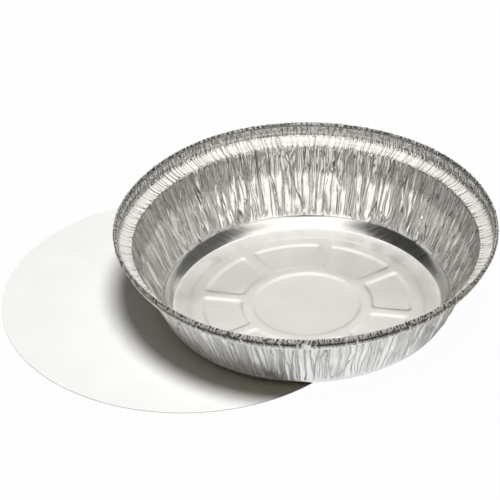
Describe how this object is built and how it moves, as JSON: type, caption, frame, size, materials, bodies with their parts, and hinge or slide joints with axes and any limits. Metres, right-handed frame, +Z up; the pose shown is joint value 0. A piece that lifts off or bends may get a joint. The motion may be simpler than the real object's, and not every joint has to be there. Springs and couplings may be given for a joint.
{
  "type": "foil food container",
  "caption": "Round pressed aluminium foil food pan with gathered walls, a crimped ledge and an upright hemmed lip, standing on its flat white board lid",
  "frame": {"origin": "on the axis of the pan, on the underside of the lid, which lies on the table", "axes": "+Z up out of the pan; +X to the right as pictured, away from the lid; +Y away from the camera"},
  "size_m": [0.2988, 0.2306, 0.0564],
  "materials": {
    "foil": "bright rolled foil, pressed and crinkled",
    "board": "smooth white board, matt"
  },
  "bodies": {
    "root": {"pan": "foil", "lid": "board"}
  },
  "joints": []
}
